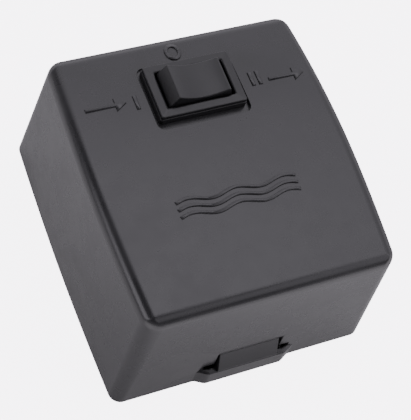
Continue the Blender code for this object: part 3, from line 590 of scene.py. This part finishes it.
def smooth(obj, degrees=32.0):
    """Shade smooth across shallow edges, so that large faces lead the normals they share with small ones."""
    mesh = obj.data
    soft = soft_edges(mesh, degrees)
    fans = {}
    for polygon in mesh.polygons:
        polygon.use_smooth = True
        loops = list(polygon.loop_indices)
        around = [mesh.loops[loop].vertex_index for loop in loops]
        for k, loop in enumerate(loops):
            ends = (around[k - 1], around[(k + 1) % len(around)])
            shared = {end for end in ends if frozenset((around[k], end)) in soft}
            fans.setdefault(around[k], []).append((loop, polygon, shared))
    normals = [Vector() for _ in mesh.loops]
    for fan in fans.values():
        groups = []
        for loop, polygon, shared in fan:
            joined = [group for group in groups if group[1] & shared]
            members = [(loop, polygon)]
            for group in joined:
                members += group[0]
                shared = shared | group[1]
                groups.remove(group)
            groups.append((members, shared))
        for members, _ in groups:
            normal = sum((polygon.normal * polygon.area for _, polygon in members), Vector()).normalized()
            for loop, _ in members:
                normals[loop] = normal
    mesh.normals_split_custom_set(normals)


# ---------------------------------------------------------------- cover

def front_z(y):
    """Height of the crowned front face at y."""
    t = y / HALF_H
    return EDGE_Z + FACE_RISE * t + CROWN * (1 - t * t) + FACE_SKEW * (t - t ** 3)


def stations():
    """Places round the right half of the outline: an angle in a corner, or a share of the side."""
    lower = [("lower", math.radians(-90 + 90 * k / CORNER_STEPS)) for k in range(CORNER_STEPS + 1)]
    side = [("side", -1 + 2 * k / SIDE_STEPS) for k in range(1, SIDE_STEPS)]
    upper = [("upper", math.radians(90 * k / CORNER_STEPS)) for k in range(CORNER_STEPS + 1)]
    return lower + side + upper


def wall_point(station, z, inset, tighten=0.0):
    """A point of the cover's outline at height z, moved inwards; tighten makes its corners sharper."""
    kind, value = station
    share = z / EDGE_Z
    radius = CORNER_REAR + (CORNER_FRONT - CORNER_REAR) * share - inset - tighten
    radius = max(radius, CORNER_LEAST)
    half_w = HALF_W - DRAFT_X * z - inset
    half_h = HALF_H - DRAFT_Y * z - inset
    if kind == "side":
        x, y = half_w, (half_h - radius) * value
    else:
        sign = -1 if kind == "lower" else 1
        x = half_w - radius + radius * math.cos(value)
        y = sign * (half_h - radius) + radius * math.sin(value)
    bow = BOW_REAR + (BOW_FRONT - BOW_REAR) * share
    return x + bow * (1 - min(1, abs(y) / HALF_H) ** BOW_POWER) * x / HALF_W, y


def full_ring(right):
    """Complete the right half of a ring with its mirror image."""
    return right + [(-x, y, z) for x, y, z in reversed(right)]


def level_ring(z, inset):
    """The cover's outline at height z, moved inwards."""
    return full_ring([(*wall_point(station, z, inset), z) for station in stations()])


def fillet_ring(turn, inset, radius, drop):
    """A ring of the fillet between walls and front: turn runs from 0 at the walls to 90 degrees."""
    right = []
    fall = radius * (1 - math.sin(turn))
    inward = radius * (1 - math.cos(turn))
    for station in stations():
        shift = inset + inward
        tighten = CORNER_TIGHTEN * inward
        y = wall_point(station, EDGE_Z, shift, tighten)[1]
        x, y = wall_point(station, front_z(y) - drop - fall, shift, tighten)
        right.append((x, y, front_z(y) - drop - fall))
    return full_ring(right)


def shell_skin(bm, inset, radius, drop):
    """Add one skin of the shell, walls, fillet and front, and return its vertices at the rim."""
    turns = [math.radians(90 * k / FILLET_STEPS) for k in range(FILLET_STEPS + 1)]
    rings = [level_ring(z, inset) for z in WALL_LEVELS]
    rings += [fillet_ring(turn, inset, radius, drop) for turn in turns]
    loops = strips(bm, rings)
    top = loops[-1]
    count = len(top)
    for k in range(count // 2 - 1):
        bm.faces.new((top[k], top[k + 1], top[count - 2 - k], top[count - 1 - k]))
    return loops[0]


def make_shell(mat):
    """The closed shell: outer and inner skin, joined along the rear rim."""
    bm = bmesh.new()
    outer = shell_skin(bm, 0.0, EDGE_FILLET, 0.0)
    inner = shell_skin(bm, WALL, EDGE_FILLET - WALL, FRONT_WALL)
    count = len(outer)
    for k in range(count):
        n = (k + 1) % count
        bm.faces.new((outer[n], outer[k], inner[k], inner[n]))
    return new_piece("cover_shell", bm, mat, replaces=("cover",))


def pocket_tool():
    """Cutter for the pocket round the bezel, which flares towards the face."""
    rings = []
    for flare, z in ((0.0, POCKET_FLOOR), (0.0, POCKET_FLOOR + 0.7 * MM),
                     (0.12 * MM, EDGE_Z + 1.5 * MM), (0.4 * MM, EDGE_Z + 3 * MM)):
        outline = rounded_rectangle(-POCKET_LEFT - flare, POCKET_RIGHT + flare,
                                    SWITCH_Y - POCKET_LOW - flare, SWITCH_Y + POCKET_HIGH + flare,
                                    POCKET_CORNER + flare)
        rings.append([(x, y, z) for x, y in outline])
    return loft(rings)


def body_tool():
    """Cutter for the hole that the switch's body goes through."""
    half_x = BODY_HALF_X + GAP
    half_y = BODY_HALF_Y + GAP
    return box((-half_x, SWITCH_Y - half_y, EDGE_Z - 8 * MM), (half_x, SWITCH_Y + half_y, EDGE_Z + 6 * MM))


def window_tool():
    """Cutter for the latch window: its upper edge rolls inwards from the wall, its sides only a little."""
    rings = []
    for degrees in (0, 2, 5, 10, 16, 24, 34, 46, 58, 70, 82, 90):
        turn = math.radians(degrees)
        depth = WINDOW_LIP * (1 - math.cos(turn))
        top = WINDOW_TOP + WINDOW_LIP_RISE * (1 - math.sin(turn))
        side = WINDOW_SIDE_LIP * (1 - math.sin(turn))
        right_half = [(WINDOW_FOOT_HALF + side, -1 * MM), (WINDOW_FOOT_HALF + side, WINDOW_FOOT_TOP + side),
                      (WINDOW_HALF + side, WINDOW_FOOT_TOP + side), (WINDOW_HALF + side, top)]
        outline = right_half + [(-x, z) for x, z in reversed(right_half)]
        if not rings:
            rings.append([(x, -HALF_H - 1 * MM, z) for x, z in outline])
        rings.append([(x, -(HALF_H - DRAFT_Y * z) + depth, z) for x, z in outline])
    rings.append([(x, -HALF_H + 4 * MM, z) for x, z in outline])
    return loft(rings)


def bridge_share(x):
    """How far the latch bridge stands out at x: full in the middle, eased down to nothing."""
    t = (abs(x) - BRIDGE_FLAT) / (BRIDGE_END - BRIDGE_FLAT)
    t = min(max(t, 0.0), 1.0)
    return 1 - t * t * (3 - 2 * t)


def bridge_section(z, setback):
    """Plan of the bridge at height z, with its front set back; its ends sink into the wall."""
    wall = -(HALF_H - DRAFT_Y * z)
    steps = 24
    run = [BRIDGE_END - (BRIDGE_END - BRIDGE_FLAT + 0.6 * MM) * k / steps for k in range(steps + 1)]
    reach = [(x, wall - BRIDGE_BULGE * bridge_share(x)) for x in run]
    outer = [(-x, y + 0.06 * MM + setback) for x, y in reach]
    outer += [(-x, y) for x, y in reversed(outer)]
    inner = [(x - 0.4 * MM, y + BRIDGE_THICK) for x, y in reach]
    inner += [(-x, y) for x, y in reversed(inner)]
    return [(x, y, z) for x, y in outer + inner]


def make_bridge():
    """The bridge: its top slopes outwards and rounds over into its front, in steps of millimetres."""
    top = (BRIDGE_HEIGHT - BRIDGE_SLOPE_DROP) / MM
    height = BRIDGE_HEIGHT / MM
    steps = ((0.0, 0.15), (0.25, 0.0), (top - 0.3, 0.0), (top - 0.2, 0.02), (top - 0.1, 0.08),
             (top - 0.03, 0.16), (top, 0.26), (top + 0.1, 0.68), (height, 1.45))
    return loft([bridge_section(z * MM, setback * MM) for z, setback in steps])


def hook_slot_tool(x):
    """Cutter for the slot in the far wall that a hook of the base goes into."""
    half = HOOK_HALF + 0.5 * MM
    skin = 1.15 * MM
    low, top = 5.0 * MM, 8.6 * MM
    return box((x - half, HALF_H - WALL - 1 * MM, low), (x + half, HALF_H - skin, top))


def make_cover(mat):
    """The cover with the switch's pocket, the latch's window and bridge, and the slots for the hooks."""
    cover = make_shell(mat)
    combine(cover, pocket_tool(), "DIFFERENCE")
    combine(cover, body_tool(), "DIFFERENCE")
    combine(cover, window_tool(), "DIFFERENCE")
    combine(cover, make_bridge(), "UNION")
    for side in (-1, 1):
        combine(cover, hook_slot_tool(side * HOOK_X), "DIFFERENCE")
    smooth(cover, degrees=28)


# ---------------------------------------------------------------- base and latch arm

def hook_profile():
    """Side view of a hook, as (y, z): a post with a nose that points outwards."""
    front = HALF_H - PLATE_FIT - 0.45 * MM
    back = front - HOOK_THICK
    nose = front + HOOK_REACH
    low, tip, top = 5.6 * MM, 6.6 * MM, 8.2 * MM
    return [(back, ROOT_Z), (front, ROOT_Z), (front, low), (nose, low), (nose, tip), (front, top),
            (back, top)]


def rib_profile(x):
    """End view of a rib that centres the cover, as (x, z): it narrows towards its top."""
    foot, head, top = 0.7 * MM, 0.55 * MM, 7 * MM
    return [(x - foot, ROOT_Z), (x + foot, ROOT_Z), (x + head, top), (x - head, top)]


def make_plate(mat):
    """The plate itself, with the tab that carries the latch arm."""
    under, upper = 0.25 * MM, 0.15 * MM
    levels = ((0.0, under), (under, 0.0), (PLATE - upper, 0.0), (PLATE, upper))
    plate = loft([level_ring(z, PLATE_FIT + chamfer) for z, chamfer in levels])
    base = new_piece("base_moulding", plate, mat, replaces=("base_plate",))
    inner_y = -(HALF_H - PLATE_FIT) + 2 * MM
    for half, outer_y in ((TAB_HALF, -(HALF_H - 0.2 * MM)), (TAB_END_HALF, -(HALF_H - 0.9 * MM))):
        combine(base, box((-half, outer_y, 0.0), (half, inner_y, PLATE)), "UNION")
    return base


def make_base(mat):
    """The rear plate with its hooks, ribs, fences, bosses and holes."""
    base = make_plate(mat)
    for side in (-1, 1):
        rib = rib_profile(side * (HALF_W - PLATE_FIT - RIB_INSET))
        combine(base, prism(rib, *RIB_ENDS, "y"), "UNION")
        hook_x = side * HOOK_X
        combine(base, prism(hook_profile(), hook_x - HOOK_HALF, hook_x + HOOK_HALF, "x"), "UNION")
        fence_x = side * FENCE_X
        for low, high in ((-10.5 * MM, -6.5 * MM), (6.5 * MM, 10.5 * MM)):
            combine(base, box((fence_x - FENCE_HALF, CAP_Y + low, ROOT_Z),
                              (fence_x + FENCE_HALF, CAP_Y + high, FENCE_HEIGHT)), "UNION")
    bosses = [(side * STRAP_BOSS_X, CAP_Y, STRAP_BOSS_HEIGHT) for side in (-1, 1)]
    bosses += [(INLET.x + side * CLAMP_BOSS_X, CLAMP_BOSS_Y, CLAMP_BOSS_HEIGHT) for side in (-1, 1)]
    for x, y, height in bosses:
        combine(base, stacked([(BOSS_R, ROOT_Z), (BOSS_R, height)], (x, y)), "UNION")
    for place in [(x, y) for x, y, _ in bosses] + list(BLOCK_HOLES):
        combine(base, stacked([(SCREW_HOLE_R, 0.7 * MM), (SCREW_HOLE_R, 9 * MM)], place), "DIFFERENCE")
    sink = [(WALL_HOLE_R + 0.3 * MM, -0.1 * MM), (WALL_HOLE_R, 0.25 * MM), (WALL_HOLE_R, 0.8 * MM),
            (WALL_HOLE_R + 2.2 * MM, 3.0 * MM)]
    for side in (-1, 1):
        for end in (-1, 1):
            combine(base, stacked(sink, (side * WALL_HOLE.x, end * WALL_HOLE.y)), "DIFFERENCE")
    inlet = [(INLET_REBATE_R + 0.2 * MM, -0.1 * MM), (INLET_REBATE_R, 0.15 * MM), (INLET_REBATE_R, 0.9 * MM),
             (INLET_R, 0.9 * MM), (INLET_R, 3 * MM)]
    combine(base, stacked(inlet, (INLET.x, INLET.y), 64), "DIFFERENCE")
    smooth(base, degrees=28)


def make_latch(mat):
    """Springy arm: a flap whose foot rests on the bridge and whose head meets the window's rolled edge."""
    radius = ARM_THICK / 2
    wall_top = -(HALF_H - DRAFT_Y * ARM_TOP)
    nose_y = ARM_LOW.y - MID_Y
    turns = [math.radians(-10 * k) for k in range(19)]
    profile = [(ARM_AXIS_Y + radius * math.cos(turn), ARM_AXIS_Z + radius * math.sin(turn)) for turn in turns]
    profile += [(ARM_AXIS_Y - radius, 6.95 * MM), (nose_y, 6.5 * MM), (nose_y, 7.4 * MM),
                (wall_top + 0.2 * MM, ARM_TOP - 0.3 * MM), (wall_top + 0.55 * MM, ARM_TOP + 0.2 * MM),
                (ARM_AXIS_Y + radius, ARM_TOP + 0.2 * MM)]
    latch = new_piece("latch_flap", prism(profile, -ARM_HALF, ARM_HALF, "x"), mat,
                      body="latch_arm", replaces=("latch_arm",))
    round_edges(latch, 0.22 * MM, segments=3)
    smooth(latch)


def make_grommet(mat):
    """Rubber ring with a groove for the plate and a tapered lip."""
    neck = 7.2 * MM
    bore = 4.2 * MM
    lip_z = PLATE + 3.4 * MM
    profile = [(bore + 0.3 * MM, 0.2 * MM), (neck + 0.9 * MM, 0.2 * MM), (neck + 1.0 * MM, 0.3 * MM),
               (neck + 1.0 * MM, 0.6 * MM), (neck, 0.6 * MM), (neck, PLATE + 0.3 * MM),
               (neck + 1.6 * MM, PLATE + 0.3 * MM), (neck + 1.8 * MM, PLATE + 0.5 * MM),
               (neck + 1.2 * MM, PLATE + 1.7 * MM), (bore + 1.1 * MM, lip_z - 0.1 * MM),
               (bore + 0.8 * MM, lip_z), (bore + 0.2 * MM, lip_z), (bore, lip_z - 0.2 * MM),
               (bore, 0.5 * MM)]
    new_piece("grommet_ring", turned(profile, (INLET.x, INLET.y)), mat,
              replaces=("cable_grommet",))


# ---------------------------------------------------------------- switch

def housing_sections():
    """Half sizes, height and corner radius, from the body's bottom over the bezel into the cavity.

    The bezel's side, groove and edge are rows of inset, height and corner radius in millimetres, and
    the cavity's mouth is rows of how much wider and longer it is, its depth and its corner radius.
    """
    body = [(BODY_HALF_X, BODY_HALF_Y, z, 0.4 * MM) for z in (BODY_BOTTOM, BEZEL_BOTTOM)]
    side = ((0.1, 48.05, 0.6), (0.0, 48.2, 0.7), (0.0, 49.75, 0.7), (0.12, 49.9, 0.7))
    groove = ((0.3, 49.95, 0.6), (0.3, 50.1, 0.6))
    frame_edge = ((0.12, 50.18, 0.7), (0.12, 50.9, 0.7), (0.16, 51.1, 0.65), (0.27, 51.22, 0.6),
                  (0.45, 51.28, 0.55))
    bezel = [(BEZEL_HALF_X - inset * MM, BEZEL_HALF_Y - inset * MM, z * MM, radius * MM)
             for inset, z, radius in side + groove + frame_edge]
    bezel.append((BEZEL_HALF_X - 1.5 * MM, BEZEL_HALF_Y - 1.4 * MM, BEZEL_TOP - 0.13 * MM, 0.5 * MM))
    mouth = ((0.8, 0.75, 0.0, 0.45), (0.55, 0.5, 0.03, 0.4), (0.25, 0.23, 0.14, 0.35),
             (0.08, 0.08, 0.32, 0.3), (0.0, 0.0, 0.6, 0.3))
    cavity = [(CAVITY_HALF_X + wider * MM, CAVITY_HALF_Y + longer * MM, BEZEL_TOP - drop * MM, radius * MM)
              for wider, longer, drop, radius in mouth]
    cavity.append((CAVITY_HALF_X, CAVITY_HALF_Y, CAVITY_FLOOR, 0.3 * MM))
    return body + bezel + cavity


def pin_tool(half_y):
    """Cutter for the pivot pin's hole."""
    return prism(circle(0.0, PIVOT.z, PIN_R + GAP, 32), SWITCH_Y - half_y, SWITCH_Y + half_y, "y")


def make_housing(mat):
    """Bezel with a grooved side and a crowned frame, and the body with its cavity and clips."""
    rings = []
    for half_x, half_y, z, radius in housing_sections():
        outline = rounded_rectangle(-half_x, half_x, SWITCH_Y - half_y, SWITCH_Y + half_y, radius, 5)
        rings.append([(x, y, z) for x, y in outline])
    housing = new_piece("switch_frame", loft(rings), mat, replaces=("switch_housing",))
    for x in (-BLADE_X, 0.0, BLADE_X):
        low = Vector((x, SWITCH_Y, BODY_BOTTOM)) - BLADE_SLOT
        high = Vector((x, SWITCH_Y, CAVITY_FLOOR)) + BLADE_SLOT
        combine(housing, box(low, high), "DIFFERENCE")
    combine(housing, pin_tool(BODY_HALF_Y - 0.1 * MM), "DIFFERENCE")
    for side in (-1, 1):
        root_x = side * (BODY_HALF_X - 0.3 * MM)
        clip = [(root_x, 39 * MM), (side * (BODY_HALF_X + 0.9 * MM), 44.6 * MM), (root_x, 44.6 * MM)]
        combine(housing, prism(clip, SWITCH_Y - 3 * MM, SWITCH_Y + 3 * MM, "y"), "UNION")
    smooth(housing, degrees=40)


def rocker_outline():
    """End view of the rocker in its middle position, as (x, z): dished top, flanks and belly."""
    steps = 28
    dish = []
    for k in range(steps + 1):
        x = RIDGE_X * (1 - 2 * k / steps)
        dish.append((x, PIVOT.z + RIDGE_Z - DISH * (1 - (x / RIDGE_X) ** 2)))
    flank = ((-9.72, 1.5), (-9.74, 0.4), (-9.6, -0.6), (-8.6, -1.7), (-7.2, -2.4), (-5.2, -2.95),
             (-3.0, -3.2))
    left = [(x * MM, PIVOT.z + z * MM) for x, z in flank]
    return [(-x, z) for x, z in reversed(left)] + dish + left


def make_rocker(mat):
    """Dished rocker with rounded edges and the hollow stem of its plunger, tilted to its resting side."""
    rocker = new_piece("rocker_cap",
                       prism(rocker_outline(), SWITCH_Y - ROCKER_HALF_Y, SWITCH_Y + ROCKER_HALF_Y, "y"),
                       mat, body="rocker", replaces=("rocker",))
    round_edges(rocker, 0.38 * MM, segments=4, degrees=26)
    centre = (0.0, SWITCH_Y)
    stem_r = PLUNGER_R + 1.25 * MM
    bore_r = PLUNGER_R + 0.35 * MM
    combine(rocker, stacked([(stem_r, PIVOT.z - 8 * MM), (stem_r, PIVOT.z - PIN_R)], centre), "UNION")
    combine(rocker, pin_tool(BODY_HALF_Y), "DIFFERENCE")
    combine(rocker, stacked([(bore_r, PIVOT.z - 9 * MM), (bore_r, PIVOT.z - 1.9 * MM)], centre), "DIFFERENCE")
    pivot = PIVOT + Vector((0, MID_Y, 0))
    rocker.data.transform(Matrix.Translation(pivot) @ Matrix.Rotation(REST_TILT, 4, "Y")
                          @ Matrix.Translation(-pivot))
    smooth(rocker, degrees=35)


# ---------------------------------------------------------------- moulded marks on the face

def offset_outline(outline, inset):
    """Move each side of a counter-clockwise outline inwards by inset."""
    moved = []
    count = len(outline)
    for k in range(count):
        before, here, after = (Vector(outline[(k + d) % count]) for d in (-1, 0, 1))
        first = (here - before).normalized()
        second = (after - here).normalized()
        normal = Vector((-first.y, first.x)) + Vector((-second.y, second.x))
        scale = inset * 2 / max(normal.length_squared, 0.5)
        moved.append(tuple(here + normal * scale))
    return moved


def raised_mark(name, outlines, mat):
    """Raised shapes on the crowned face: each outline is a closed run of (x, y) points."""
    levels = ((-0.3 * MM, -0.14 * MM), (0.04 * MM, -0.10 * MM), (MARK_HEIGHT - 0.08 * MM, 0.0),
              (MARK_HEIGHT, 0.09 * MM))
    bm = bmesh.new()
    for outline in outlines:
        loops = strips(bm, [[(x, y, front_z(y) + lift) for x, y in offset_outline(outline, inset)]
                            for lift, inset in levels])
        bm.faces.new(loops[-1])
        bm.faces.new(list(reversed(loops[0])))
    new_piece(name, bm, mat, degrees=50.0)


def stroke(points, width):
    """Outline of a line of even width along open points."""
    left, right = [], []
    for k, point in enumerate(points):
        here = Vector(point)
        ahead = Vector(points[min(k + 1, len(points) - 1)]) - Vector(points[max(k - 1, 0)])
        side = Vector((-ahead.y, ahead.x)).normalized() * width / 2
        left.append(tuple(here + side))
        right.append(tuple(here - side))
    return right + list(reversed(left))


def arrow_shape(x0, x1, y):
    """An arrow that points to the right, from x0 to x1."""
    neck = x1 - ARROW_HEAD
    half_head = ARROW_HEAD * 0.62
    half_line = MARK_LINE / 2
    return [(x0, y - half_line), (neck, y - half_line), (neck, y - half_head), (x1, y),
            (neck, y + half_head), (neck, y + half_line), (x0, y + half_line)]


def zero_shape(cx, cy, half_x, half_y):
    """The numeral 0 as two half rings, so that each is a simple outline."""
    halves = []
    for start in (0, 180):
        steps = 16
        arc = []
        for k in range(steps + 1):
            turn = math.radians(start + 180 * k / steps)
            arc.append((cx + half_x * math.cos(turn), cy + half_y * math.sin(turn)))
        halves.append(stroke(arc, MARK_LINE))
    return halves


def one_shape(cx, cy):
    """The numeral 1 as a plain bar."""
    half_x, half_y = MARK_LINE / 2, NUMERAL_HEIGHT / 2
    return [(cx - half_x, cy - half_y), (cx + half_x, cy - half_y),
            (cx + half_x, cy + half_y), (cx - half_x, cy + half_y)]


def wave_shape(row):
    """One wavy line of the airflow mark."""
    steps = 60
    points = []
    for k in range(steps + 1):
        share = k / steps
        points.append((WAVE_HALF * (2 * share - 1),
                       WAVE_Y + row * WAVE_PITCH + WAVE_SWING * math.sin(math.tau * WAVE_COUNT * share)))
    return stroke(points, WAVE_LINE)


def make_marks(mat):
    """Numerals and arrows round the switch and an airflow pictogram on the face."""
    raised_mark("mark_zero", zero_shape(-1.4 * MM, 36.0 * MM, 1.9 * MM, 2.3 * MM), mat)
    raised_mark("mark_left", [arrow_shape(-32.5 * MM, -20.5 * MM, MARK_Y + 1.2 * MM),
                              one_shape(-17.6 * MM, MARK_Y + 0.6 * MM)], mat)
    raised_mark("mark_right", [one_shape(17.6 * MM, MARK_Y + 0.2 * MM),
                               one_shape(19.8 * MM, MARK_Y + 0.2 * MM),
                               arrow_shape(22.6 * MM, 33.6 * MM, MARK_Y - 1.0 * MM)], mat)
    raised_mark("mark_airflow", [wave_shape(row) for row in (-1, 0, 1)], mat)


# ---------------------------------------------------------------- build

add_camera()
add_studio()
add_floor()

MATERIALS = {
    "shell_black": moulded_plastic("shell_plastic", (0.012, 0.0118, 0.013), (0.017, 0.0165, 0.018), 0.27),
    "switch_black": moulded_plastic("switch_plastic", (0.011, 0.011, 0.0118), (0.014, 0.014, 0.015), 0.36,
                                    specular=0.42),
    "base_black": moulded_plastic("base_plastic", (0.012, 0.012, 0.013), (0.016, 0.016, 0.017), 0.42),
    "rubber_black": soft_rubber("rubber"),
    "steel": plated_metal("steel_plate", (0.58, 0.58, 0.59), (0.68, 0.68, 0.69), 0.3),
    "zinc_plate": plated_metal("zinc_sheet", (0.60, 0.61, 0.62), (0.70, 0.71, 0.73), 0.36),
    "brass": plated_metal("brass_bar", (0.72, 0.55, 0.25), (0.82, 0.66, 0.34), 0.3),
    "copper_alloy": plated_metal("copper_strip", (0.72, 0.48, 0.32), (0.84, 0.60, 0.42), 0.3),
    "nylon_white": clear_nylon("white_nylon", (0.72, 0.71, 0.66), (0.82, 0.81, 0.76), 0.45),
    "sleeve_nylon": clear_nylon("milky_nylon", (0.66, 0.67, 0.66), (0.74, 0.75, 0.74), 0.35),
    "capacitor_grey": moulded_plastic("case_grey", (0.28, 0.29, 0.31), (0.33, 0.34, 0.36), 0.5),
    "resin_dark": moulded_plastic("resin_fill", (0.05, 0.05, 0.055), (0.07, 0.07, 0.075), 0.3),
    "lead_blue": moulded_plastic("lead_blue_skin", (0.04, 0.11, 0.38), (0.06, 0.15, 0.46), 0.42),
    "lead_brown": moulded_plastic("lead_brown_skin", (0.17, 0.075, 0.03), (0.23, 0.10, 0.05), 0.42),
    "lead_black": moulded_plastic("lead_black_skin", (0.025, 0.025, 0.025), (0.035, 0.035, 0.035), 0.42),
}
for entry in frame["record"]["subparts"]:
    for place in frame["nodes"][entry["node"]].material_slots:
        place.material = MATERIALS[entry["material_slot"]]

make_cover(MATERIALS["shell_black"])
make_marks(MATERIALS["shell_black"])
make_base(MATERIALS["base_black"])
make_latch(MATERIALS["base_black"])
make_grommet(MATERIALS["rubber_black"])
make_housing(MATERIALS["switch_black"])
make_rocker(MATERIALS["switch_black"])
